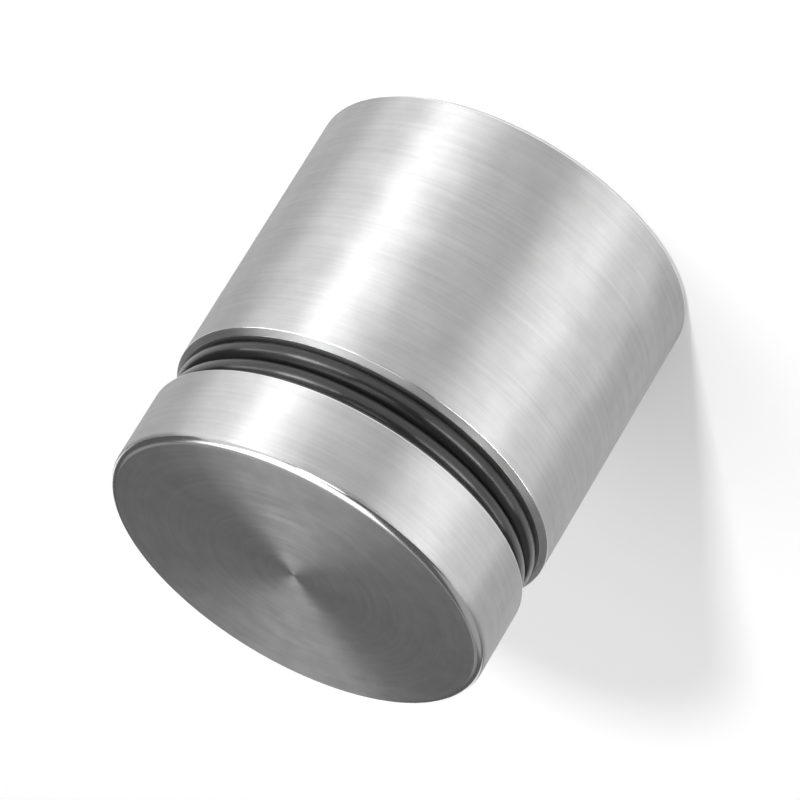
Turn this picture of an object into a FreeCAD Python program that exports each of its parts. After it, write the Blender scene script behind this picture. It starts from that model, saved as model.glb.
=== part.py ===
import FreeCAD, Part
import os

import Sketcher

document = FreeCAD.newDocument("glass_panel_standoff")

# Driving sizes: every length in millimetres, the angle in degrees
driving_sizes = [
    ("barrel_diameter", 25.0, "turned barrel that holds the panel off the wall"),
    ("barrel_length", 19.0, "from the wall face to the mouth"),
    ("barrel_edge_break", 0.35, "chamfer on both outer edges of the barrel"),
    ("cap_diameter", 25.0, "turned disc in front of the panel"),
    ("cap_thickness", 5.5, "from the back of the cap to its face"),
    ("cap_face_round", 0.6, "radius of the rounded edge of the face"),
    ("cap_back_break", 0.25, "chamfer round the back edge"),
    ("gasket_diameter", 24.2, "washers stand a little inside the metal"),
    ("gasket_thickness", 1.35, "one washer each side of the panel"),
    ("gasket_edge_break", 0.3, "eased edges at a washer's rim"),
    ("gasket_bore_clearance", 0.3, "gap all round between a washer and the stud"),
    ("thread_diameter", 10.0, "outside of the stud's thread"),
    ("thread_pitch", 1.5, "advance for each turn"),
    ("thread_clearance", 0.08, "gap all round between the stud and a tapped bore"),
    ("thread_lead_in", 0.5, "chamfer at the mouth of each tapped bore"),
    ("stud_end_break", 0.95, "chamfer on both ends of the stud"),
    ("stud_seat_depth", 3.5, "length of stud held in the cap"),
    ("stud_tip_clearance", 1.0, "free thread in front of the stud's tip"),
    ("tap_runout", 1.8, "drilled bore left plain below the thread"),
    ("base_thickness", 4.4, "metal at the wall, up to the top of the countersink"),
    ("wall_hole_diameter", 4.5, "clearance hole for the wall screw"),
    ("countersink_angle", 90.0, "included angle that takes the screw's head"),
]

sheet = document.addObject("Spreadsheet::Sheet", "sizes")
for row, (alias, value, meaning) in enumerate(driving_sizes, start=1):
    sheet.set(f"A{row}", alias)
    sheet.set(f"B{row}", str(value))
    sheet.set(f"C{row}", meaning)
    sheet.setAlias(f"B{row}", alias)
document.recompute()

# Sizes that follow from the driving ones, as expressions on the sheet
mouth_height = "sizes.barrel_length"
cap_gasket_height = "(sizes.barrel_length + sizes.gasket_thickness)"
cap_height = "(sizes.barrel_length + 2 * sizes.gasket_thickness)"
tapped_radius = "(sizes.thread_diameter / 2 + sizes.thread_clearance)"
tapped_mouth_radius = f"({tapped_radius} + sizes.thread_lead_in)"
core_radius = "((sizes.thread_diameter - sizes.thread_pitch) / 2)"
wall_hole_radius = "(sizes.wall_hole_diameter / 2)"
countersink_depth = f"(({core_radius} - {wall_hole_radius}) / tan(sizes.countersink_angle / 2 * 1 deg))"
thread_floor_height = "(sizes.base_thickness + sizes.tap_runout)"
stud_tip_height = f"({thread_floor_height} + sizes.stud_tip_clearance)"
stud_length = f"({cap_height} + sizes.stud_seat_depth - {stud_tip_height})"


def new_body(name, height):
    """A body whose own zero level sits at the given height above the wall."""
    body = document.addObject("PartDesign::Body", name)
    body.Label = name
    body.setExpression("Placement.Base.z", height)
    return body


def new_sketch(body, name, plane_role):
    sketch = body.newObject("Sketcher::SketchObject", name)
    plane = next(item for item in body.Origin.OriginFeatures if item.Role == plane_role)
    sketch.AttachmentSupport = [(plane, "")]
    sketch.MapMode = "FlatFace"
    return sketch


def bind(sketch, constraint, expression):
    """Add a dimension to a sketch and tie it to the sheet."""
    index = sketch.addConstraint(constraint)
    sketch.setExpression(f"Constraints[{index}]", expression)


def add_circle(sketch, diameter):
    """A circle about the axis, tied to the sheet by its diameter."""
    start_radius = 1.0
    origin = FreeCAD.Vector(0, 0, 0)
    circle = sketch.addGeometry(Part.Circle(origin, FreeCAD.Vector(0, 0, 1), start_radius))
    sketch.addConstraint(Sketcher.Constraint("Coincident", circle, 3, -1, 1))
    bind(sketch, Sketcher.Constraint("Diameter", circle, 2 * start_radius), diameter)


def turned_disc(body, diameter, thickness, bore_diameter=None):
    """Stock sawn from round bar: a disc about the body's Z axis, with or without a bore."""
    sketch = new_sketch(body, f"{body.Name}_outline", "XY_Plane")
    add_circle(sketch, diameter)
    if bore_diameter:
        add_circle(sketch, bore_diameter)
    disc = body.newObject("PartDesign::Pad", f"{body.Name}_blank")
    disc.Profile = sketch
    disc.setExpression("Length", thickness)
    document.recompute()
    return disc


def bored(body, corners):
    """Cut a stepped bore: corners are its half section, from the axis at the bottom."""
    sketch = new_sketch(body, f"{body.Name}_bore_section", "XZ_Plane")
    points = []
    for radius, height in corners:
        radius_now = float(sheet.evalExpression(radius))
        height_now = float(sheet.evalExpression(height))
        points.append(FreeCAD.Vector(radius_now, height_now, 0))
    count = len(corners)
    for index in range(count):
        sketch.addGeometry(Part.LineSegment(points[index], points[(index + 1) % count]))
    for index in range(count):
        sketch.addConstraint(Sketcher.Constraint("Coincident", index, 2, (index + 1) % count, 1))
    for index, (radius, height) in enumerate(corners):
        if radius == "0":
            sketch.addConstraint(Sketcher.Constraint("PointOnObject", index, 1, -2))
        else:
            bind(sketch, Sketcher.Constraint("DistanceX", -1, 1, index, 1, points[index].x), radius)
        if height == "0":
            sketch.addConstraint(Sketcher.Constraint("PointOnObject", index, 1, -1))
        else:
            bind(sketch, Sketcher.Constraint("DistanceY", -1, 1, index, 1, points[index].y), height)
    bore = body.newObject("PartDesign::Groove", f"{body.Name}_bore")
    bore.Profile = sketch
    bore.ReferenceAxis = (sketch, ["V_Axis"])
    bore.Angle = 360
    document.recompute()
    return bore


def rim_edges(feature, radius, height):
    """Names of the feature's circular edges of one radius at one height."""
    tolerance = 0.001
    names = []
    for number, edge in enumerate(feature.Shape.Edges, start=1):
        if not isinstance(edge.Curve, Part.Circle):
            continue
        same_radius = abs(edge.Curve.Radius - radius) < tolerance
        same_height = abs(edge.Curve.Center.z - height) < tolerance
        if same_radius and same_height:
            names.append(f"Edge{number}")
    return names


def break_edge(body, base, name, radius, height, size):
    """Chamfer one round edge of the feature before it."""
    chamfer = body.newObject("PartDesign::Chamfer", name)
    chamfer.Base = (base, rim_edges(base, radius, height))
    chamfer.setExpression("Size", size)
    document.recompute()
    return chamfer


def round_edge(body, base, name, radius, height, size):
    """Round one circular edge of the feature before it."""
    fillet = body.newObject("PartDesign::Fillet", name)
    fillet.Base = (base, rim_edges(base, radius, height))
    fillet.setExpression("Radius", size)
    document.recompute()
    return fillet


def make_barrel():
    """Barrel: a bar drilled for the wall screw, countersunk inside and tapped from the mouth."""
    body = new_body("barrel", "0 mm")
    turned_disc(body, "sizes.barrel_diameter", "sizes.barrel_length")
    countersink_floor = f"(sizes.base_thickness - {countersink_depth})"
    bore = bored(body, [
        ("0", "0"),
        (wall_hole_radius, "0"),
        (wall_hole_radius, countersink_floor),
        (core_radius, "sizes.base_thickness"),
        (core_radius, thread_floor_height),
        (tapped_radius, thread_floor_height),
        (tapped_radius, f"{mouth_height} - sizes.thread_lead_in"),
        (tapped_mouth_radius, mouth_height),
        ("0", mouth_height),
    ])
    radius = sheet.barrel_diameter / 2
    wall_edge = break_edge(body, bore, "wall_edge", radius, 0, "sizes.barrel_edge_break")
    break_edge(body, wall_edge, "mouth_edge", radius, sheet.barrel_length, "sizes.barrel_edge_break")
    return body


def make_cap():
    """Cap: a disc with a rounded face edge, and a blind tapped seat for the stud in its back."""
    body = new_body("cap", cap_height)
    turned_disc(body, "sizes.cap_diameter", "sizes.cap_thickness")
    bore = bored(body, [
        ("0", "0"),
        (tapped_mouth_radius, "0"),
        (tapped_radius, "sizes.thread_lead_in"),
        (tapped_radius, "sizes.stud_seat_depth"),
        ("0", "sizes.stud_seat_depth"),
    ])
    radius = sheet.cap_diameter / 2
    back_edge = break_edge(body, bore, "back_edge", radius, 0, "sizes.cap_back_break")
    round_edge(body, back_edge, "face_edge", radius, sheet.cap_thickness, "sizes.cap_face_round")
    return body


def make_stud():
    """Stud: threaded rod, its far end on the floor of the cap's seat."""
    body = new_body("threaded_stud", stud_tip_height)
    rod = turned_disc(body, "sizes.thread_diameter", stud_length)
    radius = sheet.thread_diameter / 2
    length = rod.Length.Value
    tip = break_edge(body, rod, "stud_tip", radius, 0, "sizes.stud_end_break")
    break_edge(body, tip, "stud_root", radius, length, "sizes.stud_end_break")
    return body


def make_gasket(name, height):
    """Gasket: a soft washer with both edges of its rim eased."""
    body = new_body(name, height)
    bore_diameter = "sizes.thread_diameter + 2 * sizes.gasket_bore_clearance"
    washer = turned_disc(body, "sizes.gasket_diameter", "sizes.gasket_thickness", bore_diameter)
    radius = sheet.gasket_diameter / 2
    thickness = sheet.gasket_thickness
    lower_edge = break_edge(body, washer, f"{name}_lower_edge", radius, 0, "sizes.gasket_edge_break")
    break_edge(body, lower_edge, f"{name}_upper_edge", radius, thickness, "sizes.gasket_edge_break")
    return body


bodies = [
    make_barrel(),
    make_gasket("barrel_gasket", mouth_height),
    make_gasket("cap_gasket", cap_gasket_height),
    make_cap(),
    make_stud(),
]
document.recompute()

# Nothing is written unless every feature and every solid is sound
for item in document.Objects:
    if "Invalid" in item.State or "Error" in item.State:
        raise RuntimeError(f"{item.Label} could not be built: {item.State}")
for body in bodies:
    shape = body.Shape
    if shape.isNull() or not shape.isValid() or len(shape.Solids) != 1:
        raise RuntimeError(f"{body.Label} is not one sound solid")

os.makedirs("parts", exist_ok=True)
for body in bodies:
    body.Shape.exportStep(f"parts/{body.Label}.step")
    print(f"{body.Label}: {body.Shape.Volume:.1f} cubic mm")
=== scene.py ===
# Glass panel standoff: turned satin metal, a rolled thread and two soft washers
import math

import bmesh
import bpy
from mathutils import Matrix, Vector


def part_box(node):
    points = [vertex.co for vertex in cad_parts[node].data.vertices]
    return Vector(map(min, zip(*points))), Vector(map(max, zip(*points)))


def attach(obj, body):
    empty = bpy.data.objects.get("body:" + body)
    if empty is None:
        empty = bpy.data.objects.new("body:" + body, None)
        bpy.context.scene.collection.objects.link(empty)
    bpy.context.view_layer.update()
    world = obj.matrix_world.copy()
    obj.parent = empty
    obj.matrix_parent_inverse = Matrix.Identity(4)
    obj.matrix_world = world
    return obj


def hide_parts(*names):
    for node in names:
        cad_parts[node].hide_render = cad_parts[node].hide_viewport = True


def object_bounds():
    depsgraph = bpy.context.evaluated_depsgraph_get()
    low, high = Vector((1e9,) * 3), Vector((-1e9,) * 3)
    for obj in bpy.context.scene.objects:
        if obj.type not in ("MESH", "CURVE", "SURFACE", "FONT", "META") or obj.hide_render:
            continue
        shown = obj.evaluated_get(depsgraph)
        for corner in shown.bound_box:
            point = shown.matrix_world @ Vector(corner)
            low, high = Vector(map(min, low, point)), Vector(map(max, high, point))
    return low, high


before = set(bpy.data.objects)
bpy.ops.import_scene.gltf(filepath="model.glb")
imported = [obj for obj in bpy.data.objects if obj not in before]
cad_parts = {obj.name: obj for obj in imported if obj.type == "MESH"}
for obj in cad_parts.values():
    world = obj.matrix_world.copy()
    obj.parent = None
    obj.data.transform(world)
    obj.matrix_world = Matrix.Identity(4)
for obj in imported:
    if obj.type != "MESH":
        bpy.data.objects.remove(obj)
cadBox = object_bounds()
mm = 0.001

scene = bpy.context.scene
scene.view_settings.view_transform = "Standard"


class Wire:
    # an output socket that takes part in sums; each sum adds a Math node
    def __init__(self, board, socket):
        self.board = board
        self.socket = socket

    def maths(self, operation, first, second):
        return self.board.add("ShaderNodeMath", {"operation": operation}, {0: first, 1: second})

    def __add__(self, other):
        return self.maths("ADD", self, other)

    def __radd__(self, other):
        return self.maths("ADD", other, self)

    def __sub__(self, other):
        return self.maths("SUBTRACT", self, other)

    def __rsub__(self, other):
        return self.maths("SUBTRACT", other, self)

    def __mul__(self, other):
        return self.maths("MULTIPLY", self, other)

    def __rmul__(self, other):
        return self.maths("MULTIPLY", other, self)

    def __pow__(self, other):
        return self.maths("POWER", self, other)

    def __rpow__(self, other):
        return self.maths("POWER", other, self)


class Board:
    # the nodes of one material, or of the world
    def __init__(self, owner):
        owner.use_nodes = True
        self.owner = owner
        self.tree = owner.node_tree
        self.tree.nodes.clear()

    def add(self, kind, settings=None, sockets=None, output=0):
        # every node comes from here: its settings first, then the values or links of its sockets
        node = self.tree.nodes.new(kind)
        for name, value in (settings or {}).items():
            setattr(node, name, value)
        for name, value in (sockets or {}).items():
            if isinstance(value, Wire):
                self.tree.links.new(value.socket, node.inputs[name])
            else:
                node.inputs[name].default_value = value
        return Wire(self, node.outputs[output]) if node.outputs else node

    def place(self):
        # where a point is on the piece, in metres
        spot = self.add("ShaderNodeTexCoord", output="Object")
        return [self.add("ShaderNodeSeparateXYZ", {}, {0: spot}, output=axis) for axis in "XYZ"]

    def cloud(self, x, y, z, detail=2.0, roughness=0.5):
        # soft noise around a half, with one lump to a unit of the three wires
        spot = self.add("ShaderNodeCombineXYZ", {}, {"X": x, "Y": y, "Z": z})
        sockets = {"Vector": spot, "Scale": 1.0, "Detail": detail, "Roughness": roughness}
        return self.add("ShaderNodeTexNoise", {}, sockets, output="Fac")

    def tint(self, amount, dark, light):
        # a grey between two, by how much; sockets 6 and 7 are the colours of a Mix node
        sockets = {"Factor": amount, 6: (dark, dark, dark, 1.0), 7: (light, light, light, 1.0)}
        return self.add("ShaderNodeMix", {"data_type": "RGBA"}, sockets, output=2)

    def bump(self, height, depth):
        return self.add("ShaderNodeBump", {}, {"Strength": 1.0, "Distance": depth, "Height": height})

    def coated(self, sockets):
        # the finished material, from the sockets of its one shader
        shader = self.add("ShaderNodeBsdfPrincipled", {}, sockets)
        self.add("ShaderNodeOutputMaterial", {}, {"Surface": shader})
        return self.owner


quarterTurn = 0.25               # lays the broad side of the gloss across the turned lines

# Turned metal: fine lines run round the axis, with broader blotches between them
turnedSide = {
    "dark": 0.33,
    "light": 0.73,
    "roughness": 0.46,
    "roughnessSpread": 0.13,
    "anisotropy": 0.90,
    "lineWidth": 0.22 * mm,
    "lineLength": 7.0 * mm,
    "lineDepth": 0.0020 * mm,
    "blotch": 2.5 * mm,
    "blotchDepth": 0.0060 * mm,
}
turnedFace = {
    "dark": 0.40,
    "light": 0.78,
    "roughness": 0.37,
    "roughnessSpread": 0.12,
    "anisotropy": 0.82,
    "lineWidth": 0.28 * mm,
    "lineLength": 6.0 * mm,
    "lineDepth": 0.0020 * mm,
    "blotch": 1.6 * mm,
    "blotchDepth": 0.0060 * mm,
}
cutEdge = {
    "dark": 0.88,
    "light": 0.96,
    "roughness": 0.18,
    "roughnessSpread": 0.06,
    "anisotropy": 0.30,
    "lineWidth": 0.12 * mm,
    "lineLength": 5.0 * mm,
    "lineDepth": 0.0002 * mm,
    "blotch": 1.5 * mm,
    "blotchDepth": 0.0010 * mm,
}
rolledThread = {
    "dark": 0.44,
    "light": 0.60,
    "roughness": 0.28,
    "roughnessSpread": 0.12,
    "anisotropy": 0.40,
    "lineWidth": 0.08 * mm,
    "lineLength": 4.0 * mm,
    "lineDepth": 0.0010 * mm,
    "blotch": 1.5 * mm,
    "blotchDepth": 0.0010 * mm,
}


# Shared by all of them
lineNoise = {"detail": 4.0, "roughness": 0.6}
blotchNoise = {"detail": 3.0, "roughness": 0.6}
lineShare = 0.5                  # how much of the wear the lines make up; the blotches are the rest
noiseMiddle = 0.5                # soft noise lies round this value


def metalFinish(name, look, across):
    # across says which way the lines are counted: up the axis, or out from it
    board = Board(bpy.data.materials.new(name))
    x, y, z = board.place()
    count = z if across == "height" else (x * x + y * y) ** 0.5
    fine, long, broad = 1 / look["lineWidth"], 1 / look["lineLength"], 1 / look["blotch"]
    lines = board.cloud(count * fine, x * long, y * long, **lineNoise)
    blotches = board.cloud(x * broad, y * broad, z * broad, **blotchNoise)
    worn = lines * lineShare + blotches * (1 - lineShare)
    relief = lines + blotches * (look["blotchDepth"] / look["lineDepth"])
    return board.coated({
        "Base Color": board.tint(worn, look["dark"], look["light"]),
        "Metallic": 1.0,
        "Roughness": look["roughness"] + (worn - noiseMiddle) * look["roughnessSpread"],
        "Anisotropic": look["anisotropy"],
        "Anisotropic Rotation": quarterTurn,
        "Normal": board.bump(relief, look["lineDepth"]),
    })


softWasher = {
    "dark": 0.004,
    "light": 0.012,
    "roughness": 0.25,
    "roughnessSpread": 0.08,
    "anisotropy": 0.70,
    "index": 1.56,
    "grain": 0.25 * mm,
    "grainDepth": 0.002 * mm,
    "blotch": 2.0 * mm,
    "blotchDetail": 3.0,
    "blotchFlattening": 3,       # the blotches are this many times wider than high
}


def washerFinish(look):
    board = Board(bpy.data.materials.new("smokedWasher"))
    x, y, z = board.place()
    fine, broad = 1 / look["grain"], 1 / look["blotch"]
    grain = board.cloud(x * fine, y * fine, z * fine)
    height = z * broad * look["blotchFlattening"]
    blotches = board.cloud(x * broad, y * broad, height, detail=look["blotchDetail"])
    return board.coated({
        "Base Color": board.tint(blotches, look["dark"], look["light"]),
        "Roughness": look["roughness"] + (blotches - noiseMiddle) * look["roughnessSpread"],
        "IOR": look["index"],
        "Anisotropic": look["anisotropy"],
        "Anisotropic Rotation": quarterTurn,
        "Normal": board.bump(grain, look["grainDepth"]),
    })


finishes = {
    "side": metalFinish("turnedSide", turnedSide, "height"),
    "face": metalFinish("turnedFace", turnedFace, "radius"),
    "edge": metalFinish("cutEdge", cutEdge, "height"),
    "thread": metalFinish("rolledThread", rolledThread, "height"),
    "washer": washerFinish(softWasher),
}
print("finishes made")


# Every round piece is a section swept about the Z axis in this many steps
turnSteps = 288
easedSteps = 9                   # stretches in every rounding
leadSteps = 3                    # the first of them, in the finish that comes before the rounding
ringDecimals = 9                 # rings whose radius and height agree this far are one ring
axisRadius = 1e-9                # a smaller ring is a point on the axis
ringReach = 1e-7                 # how near an end ring the helix joins it


class Turning:
    # a mesh built up from stretches of a section, all swept about the same axis
    def __init__(self, name, finishNames):
        self.name = name
        self.mesh = bmesh.new()
        self.normals = self.mesh.loops.layers.float_vector.new("turned")
        self.finishNames = finishNames
        self.rings = {}

    def vertex(self, radius, turn, height):
        return self.mesh.verts.new((radius * math.cos(turn), radius * math.sin(turn), height))

    def ring(self, radius, height):
        key = (round(radius, ringDecimals), round(height, ringDecimals))
        if key not in self.rings:
            if radius < axisRadius:
                self.rings[key] = [self.vertex(0, 0, height)] * turnSteps
            else:
                turns = [2 * math.pi * step / turnSteps for step in range(turnSteps)]
                self.rings[key] = [self.vertex(radius, turn, height) for turn in turns]
        return self.rings[key]

    def face(self, corners, finishName):
        # corners: (vertex, its normal); a vertex met twice in a row counts once
        kept = []
        for vertex, normal in corners:
            if not kept or kept[-1][0] is not vertex:
                kept.append((vertex, normal))
        if len(kept) > 1 and kept[0][0] is kept[-1][0]:
            kept.pop()
        if len(kept) < 3:
            return
        face = self.mesh.faces.new([vertex for vertex, normal in kept])
        face.smooth = True
        face.material_index = self.finishNames.index(finishName)
        for loop, (vertex, normal) in zip(face.loops, kept):
            loop[self.normals] = normal

    def sweep(self, start, startNormal, end, endNormal, finishName):
        # one stretch of the section; points and normals are (outward, upward)
        low = self.ring(*start)
        high = self.ring(*end)
        for step in range(turnSteps):
            following = (step + 1) % turnSteps
            corners = []
            for ring, place, side in (
                (low, step, startNormal),
                (low, following, startNormal),
                (high, following, endNormal),
                (high, step, endNormal),
            ):
                turn = 2 * math.pi * place / turnSteps
                normal = (side[0] * math.cos(turn), side[0] * math.sin(turn), side[1])
                corners.append((ring[place], normal))
            self.face(corners, finishName)

    def section(self, corners, closed=True):
        # corners: (radius, height, easing radius, finish of the stretch that follows)
        # the metal lies to the left of the way the corners run
        count = len(corners)
        points = [Vector(corner[:2]) for corner in corners]
        last = count if closed else count - 1
        ways = [(points[(i + 1) % count] - points[i]).normalized() for i in range(last)]
        outs = [Vector((way.y, -way.x)) for way in ways]
        starts = [points[i] for i in range(last)]
        ends = [points[(i + 1) % count] for i in range(last)]
        easedFinish = "edge" if "edge" in self.finishNames else self.finishNames[0]
        for i in range(count):
            ease = corners[i][2]
            before = i - 1 if i > 0 else last - 1
            if ease == 0 or (not closed and i in (0, count - 1)):
                continue
            bend = math.atan2(ways[before].cross(ways[i]), ways[before].dot(ways[i]))
            back = ease * math.tan(abs(bend) / 2)
            ends[before] = points[i] - ways[before] * back
            starts[i] = points[i] + ways[i] * back
            side = 1 if bend > 0 else -1
            centre = ends[before] - outs[before] * ease * side
            reached, facing = ends[before], outs[before]
            # a rounding starts and ends in the finish of its neighbours
            between = [easedFinish] * (easedSteps - leadSteps - 1)
            eased = [corners[before][3]] * leadSteps + between + [corners[i][3]]
            for step in range(1, easedSteps + 1):
                turned = Matrix.Rotation(bend * step / easedSteps, 2) @ outs[before]
                point = centre + turned * ease * side if step < easedSteps else starts[i]
                self.sweep(reached, facing, point, turned, eased[step - 1])
                reached, facing = point, turned
        for i in range(last):
            self.sweep(starts[i], outs[i], ends[i], outs[i], corners[i][3])

    def thread(self, radiusAt, low, high, pitch, rowsPerTurn, inside, finishName):
        # rows run up the helix from one pitch below z = 0, and join the low ring where they pass it.
        # Known gap: they are counted without the low ring's height, and end short of the high ring
        rows = int((high[1] - low[1]) / pitch * rowsPerTurn) + 2 * rowsPerTurn
        lowRing = self.ring(*low)
        highRing = self.ring(*high)
        columns = []
        for step in range(turnSteps):
            column = []
            turn = 2 * math.pi * step / turnSteps
            for row in range(rows):
                height = pitch * (row / rowsPerTurn + step / turnSteps - 1)
                if height <= low[1] + ringReach:
                    column.append(lowRing[step])
                elif height >= high[1] - ringReach:
                    column.append(highRing[step])
                else:
                    radius = radiusAt(row / rowsPerTurn % 1, height)
                    column.append(self.vertex(radius, turn, height))
            columns.append(column)
        # after a whole turn the first column meets itself one pitch further up
        columns.append(columns[0][rowsPerTurn:])
        plain = (0, 0, 0)
        for here, there in zip(columns, columns[1:]):
            for row in range(min(len(here), len(there)) - 1):
                corners = [here[row], there[row], there[row + 1], here[row + 1]]
                if inside:
                    corners.reverse()
                self.face([(corner, plain) for corner in corners], finishName)

    def finished(self, body, nodes):
        mesh = bpy.data.meshes.new(self.name)
        self.mesh.to_mesh(mesh)
        self.mesh.free()
        turned = mesh.attributes["turned"]
        normals = [tuple(item.vector) for item in turned.data]
        mesh.attributes.remove(turned)
        mesh.normals_split_custom_set(normals)
        for finishName in self.finishNames:
            mesh.materials.append(finishes[finishName])
        piece = bpy.data.objects.new(self.name, mesh)
        scene.collection.objects.link(piece)
        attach(piece, body)
        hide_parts(*nodes)
        print(self.name, "has", len(mesh.polygons), "faces")


# Metric thread, shared by the stud and the barrel
threadForm = {
    "majorRadius": 5.0 * mm,
    "innerRadius": 4.188 * mm,   # crest of the inside thread, before its clearance
    "rootRadius": 4.09 * mm,     # root of the outside thread
    "pitch": 1.5 * mm,
    "flankAngle": 60,            # each flank leans this far from the axis, in degrees
    "crestFlat": 1 / 8,          # width of the flat crest, as a share of the pitch
    "clearance": 0.08 * mm,
    "rowsPerTurn": 24,
}


def flankRadius(share):
    # radius of the basic thread: share is how far along the pitch, with the crest at 0
    pitch = threadForm["pitch"]
    away = abs((share + 0.5) % 1 - 0.5) * pitch
    crest = pitch * threadForm["crestFlat"] / 2
    slope = math.tan(math.radians(threadForm["flankAngle"]))
    return min(threadForm["majorRadius"], threadForm["majorRadius"] - (away - crest) * slope)


def studRadius(share):
    return max(threadForm["rootRadius"], flankRadius(share))


def boreRadius(share):
    return max(threadForm["innerRadius"], flankRadius(share)) + threadForm["clearance"]


barrelLook = {
    "edgeBreak": 0.35 * mm,
    "ease": 0.10 * mm,
    "wallHole": 2.25 * mm,
    "core": 4.25 * mm,
    "countersinkTop": 4.4 * mm,
    "threadFloor": 6.2 * mm,
    "mouthBreak": 0.5 * mm,
    "runOut": 0.6,               # how steeply the thread fades in above its floor
}


def makeBarrel():
    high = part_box("barrel")[1]
    outer, top = high.x, high.z
    look = barrelLook
    cut, ease = look["edgeBreak"], look["ease"]
    mouth = threadForm["majorRadius"] + threadForm["clearance"] + look["mouthBreak"]
    turning = Turning("turned_barrel", ["side", "face", "edge", "thread"])
    turning.section([
        (look["core"], look["threadFloor"], 0, "thread"),
        (look["core"], look["countersinkTop"], 0, "face"),
        (look["wallHole"], look["countersinkTop"] - (look["core"] - look["wallHole"]), 0, "thread"),
        (look["wallHole"], 0, 0, "face"),
        (outer - cut, 0, ease, "thread"),
        (outer, cut, ease, "side"),
        (outer, top - cut, ease, "side"),
        (outer - cut, top, ease, "face"),
        (mouth, top, 0, "edge"),
    ], closed=False)

    def radius(share, height):
        leadIn = mouth - (top - height)
        runOut = look["core"] + (height - look["threadFloor"]) * look["runOut"]
        return min(max(boreRadius(share), leadIn), runOut)

    floor = (look["core"], look["threadFloor"])
    form = threadForm
    turning.thread(radius, floor, (mouth, top), form["pitch"], form["rowsPerTurn"], True, "thread")
    turning.finished("wall_side", ["barrel"])


capLook = {
    "faceEase": 0.6 * mm,
    "backBreak": 0.25 * mm,
    "backEase": 0.08 * mm,
    "seatDepth": 3.5 * mm,
    "mouthBreak": 0.5 * mm,
}


def makeCap():
    low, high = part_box("cap")
    outer, back, front = high.x, low.z, high.z
    look = capLook
    seat = threadForm["majorRadius"] + threadForm["clearance"]
    turning = Turning("turned_cap", ["side", "face", "edge", "thread"])
    turning.section([
        (0, back + look["seatDepth"], 0, "thread"),
        (seat, back + look["seatDepth"], 0, "thread"),
        (seat, back + look["mouthBreak"], 0, "edge"),
        (seat + look["mouthBreak"], back, 0, "face"),
        (outer - look["backBreak"], back, look["backEase"], "edge"),
        (outer, back + look["backBreak"], look["backEase"], "side"),
        (outer, front, look["faceEase"], "face"),
        (0, front, 0, "face"),
    ], closed=False)
    turning.finished("cap_side", ["cap"])


studLook = {
    "endRadius": 4.05 * mm,
}


def makeStud():
    low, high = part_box("threaded_stud")
    tip, root = low.z, high.z
    end = studLook["endRadius"]
    turning = Turning("threaded_rod", ["thread", "face"])
    turning.section([(0, tip, 0, "face"), (end, tip, 0, "face")], closed=False)
    turning.section([(end, root, 0, "face"), (0, root, 0, "face")], closed=False)

    def radius(share, height):
        return min(studRadius(share), end + height - tip, end + root - height)

    form = threadForm
    turning.thread(radius, (end, tip), (end, root), form["pitch"], form["rowsPerTurn"], False, "thread")
    turning.finished("cap_side", ["threaded_stud"])


washerLook = {
    "bore": 5.3 * mm,
    "rimEase": 0.66 * mm,
    "boreEase": 0.12 * mm,
}


def makeWasher(name, node, body):
    low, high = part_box(node)
    look = washerLook
    turning = Turning(name, ["washer"])
    turning.section([
        (look["bore"], low.z, look["boreEase"], "washer"),
        (high.x, low.z, look["rimEase"], "washer"),
        (high.x, high.z, look["rimEase"], "washer"),
        (look["bore"], high.z, look["boreEase"], "washer"),
    ])
    turning.finished(body, [node])


makeBarrel()
makeCap()
makeStud()
makeWasher("barrel_washer", "barrel_gasket", "wall_side")
makeWasher("cap_washer", "cap_gasket", "panel_side")
print("pieces made")

middle = (cadBox[0] + cadBox[1]) / 2


def around(azimuth, elevation, distance):
    # a place round the middle of the object; azimuth 0 is the camera's side, counted to its right
    a, e = math.radians(azimuth), math.radians(elevation)
    return middle + distance * Vector((math.sin(a) * math.cos(e), -math.cos(a) * math.cos(e), math.sin(e)))


floorLook = {
    "half": 0.7,                 # half the side of the square floor, in metres
    "paint": 0.84,
    "glow": 0.22,                # what the camera and the metal see on top of the painted floor
}


def makeFloor():
    half = floorLook["half"]
    board = Board(bpy.data.materials.new("paleFloor"))
    seen = board.add("ShaderNodeLightPath", output="Is Camera Ray")
    seen = seen + board.add("ShaderNodeLightPath", output="Is Glossy Ray")
    seen = seen + board.add("ShaderNodeLightPath", output="Is Transmission Ray")
    shade = floorLook["paint"]
    paint = board.add("ShaderNodeBsdfDiffuse", {}, {"Color": (shade, shade, shade, 1.0)})
    glow = board.add("ShaderNodeEmission", {}, {"Strength": seen * floorLook["glow"]})
    both = board.add("ShaderNodeAddShader", {}, {0: paint, 1: glow})
    board.add("ShaderNodeOutputMaterial", {}, {"Surface": both})
    mesh = bpy.data.meshes.new("floor")
    corners = [(-half, -half, 0), (half, -half, 0), (half, half, 0), (-half, half, 0)]
    mesh.from_pydata(corners, [], [(0, 1, 2, 3)])
    mesh.materials.append(board.owner)
    floor = bpy.data.objects.new("floor", mesh)
    scene.collection.objects.link(floor)


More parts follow.
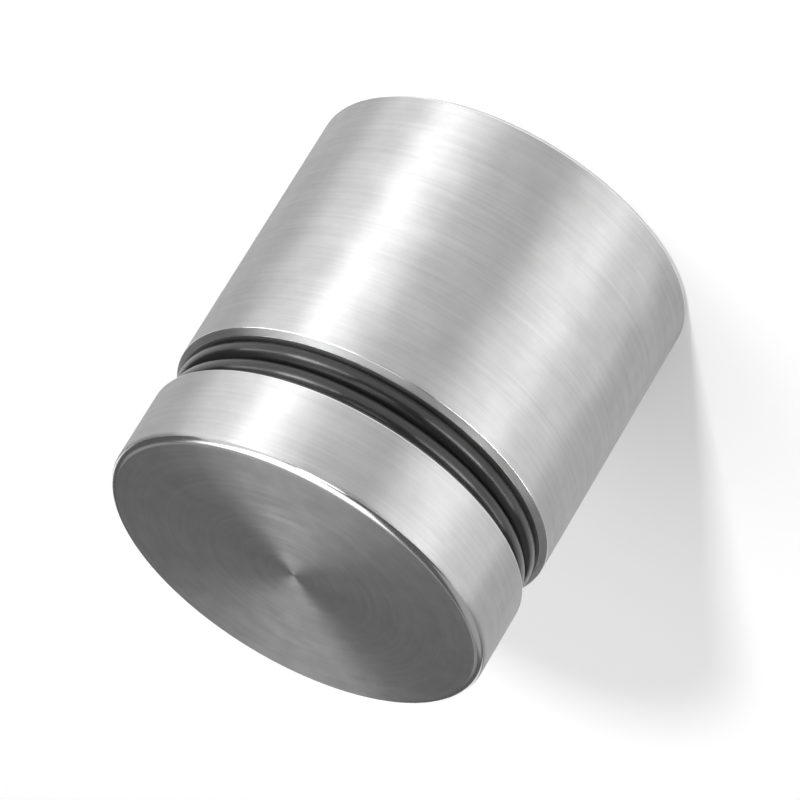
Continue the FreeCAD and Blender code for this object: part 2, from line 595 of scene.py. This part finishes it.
# Lamps: sheets of soft light round the object, as a tent would hold them.
# Width and height are angles seen from the object, in degrees, and radiance 1 is a white sheet.
# The strips near the floor streak the brushed sides, and the high sheets light the edges and the face.
# The sun throws the shadow on the floor, and the metal doesn't mirror it.
lampDistance = 1.0               # metres from the middle of the object
lamps = {
    "farRight": {"azimuth": 84, "elevation": 5, "width": 30, "height": 8, "radiance": 6.1},
    "brightRight": {"azimuth": 56, "elevation": 5, "width": 21, "height": 8, "radiance": 22.0},
    "innerRight": {"azimuth": 37, "elevation": 5, "width": 16, "height": 8, "radiance": 9.4},
    "innerLeft": {"azimuth": -25, "elevation": 5, "width": 14, "height": 8, "radiance": 8.0},
    "middleLeft": {"azimuth": -38, "elevation": 5, "width": 14, "height": 8, "radiance": 12.0},
    "brightLeft": {"azimuth": -51, "elevation": 5, "width": 14, "height": 8, "radiance": 15.2},
    "farLeft": {"azimuth": -74, "elevation": 5, "width": 34, "height": 8, "radiance": 6.0},
    "front": {"azimuth": 15, "elevation": 40, "width": 22, "height": 16, "radiance": 2.0},
    "highRight": {"azimuth": 66, "elevation": 30, "width": 46, "height": 38, "radiance": 0.55},
    "highLeft": {"azimuth": -110, "elevation": 30, "width": 56, "height": 40, "radiance": 0.24},
    "shoulder": {"azimuth": 70, "elevation": 60, "width": 60, "height": 22, "radiance": 0.7},
    "top": {"azimuth": 90, "elevation": 77, "width": 56, "height": 50, "radiance": 1.2},
    "highBehind": {"azimuth": 165, "elevation": 56, "width": 44, "height": 22, "radiance": 0.22},
    "behind": {"azimuth": 180, "elevation": 34, "width": 56, "height": 22, "radiance": 0.16},
    "sun": {"azimuth": 22, "elevation": 33, "width": 5, "height": 5, "radiance": 270, "mirrored": False},
}


def makeLamp(name, look):
    data = bpy.data.lights.new(name, "AREA")
    data.shape = "RECTANGLE"
    data.size = 2 * lampDistance * math.tan(math.radians(look["width"] / 2))
    data.size_y = 2 * lampDistance * math.tan(math.radians(look["height"] / 2))
    data.energy = look["radiance"] * math.pi * data.size * data.size_y
    lamp = bpy.data.objects.new(name, data)
    lamp.location = around(look["azimuth"], look["elevation"], lampDistance)
    lamp.rotation_mode = "QUATERNION"
    lamp.rotation_quaternion = (middle - lamp.location).to_track_quat("-Z", "Y")
    lamp.visible_camera = False
    lamp.visible_glossy = look.get("mirrored", True)
    scene.collection.objects.link(lamp)


skyLook = {
    "grey": 0.088,               # what lights the object
    "white": 1.0,                # what the camera sees
}


def makeSky():
    scene.world = bpy.data.worlds.new("sky")
    board = Board(scene.world)
    seen = board.add("ShaderNodeLightPath", output="Is Camera Ray")
    strength = seen * (skyLook["white"] - skyLook["grey"]) + skyLook["grey"]
    white = (1.0, 1.0, 1.0, 1.0)
    background = board.add("ShaderNodeBackground", {}, {"Color": white, "Strength": strength})
    board.add("ShaderNodeOutputWorld", {}, {"Surface": background})


cameraLook = {
    "azimuth": 0,
    "elevation": 27.04,
    "distance": 400 * mm,
    "roll": -148.7,              # the cap points to the lower left of the picture
    "lens": 300.0,
    "near": 0.01,                # nothing nearer or farther is drawn, in metres
    "far": 50,
}


def makeCamera():
    data = bpy.data.cameras.new("camera")
    data.lens = cameraLook["lens"]
    data.clip_start = cameraLook["near"]
    data.clip_end = cameraLook["far"]
    camera = bpy.data.objects.new("camera", data)
    camera.location = around(cameraLook["azimuth"], cameraLook["elevation"], cameraLook["distance"])
    look = (middle - camera.location).to_track_quat("-Z", "Y")
    roll = Matrix.Rotation(math.radians(-cameraLook["roll"]), 3, "Z").to_quaternion()
    camera.rotation_mode = "QUATERNION"
    camera.rotation_quaternion = look @ roll.inverted()
    scene.collection.objects.link(camera)
    scene.camera = camera


makeFloor()
for name, look in lamps.items():
    makeLamp(name, look)
makeSky()
makeCamera()
print("stage, lamps and camera made")
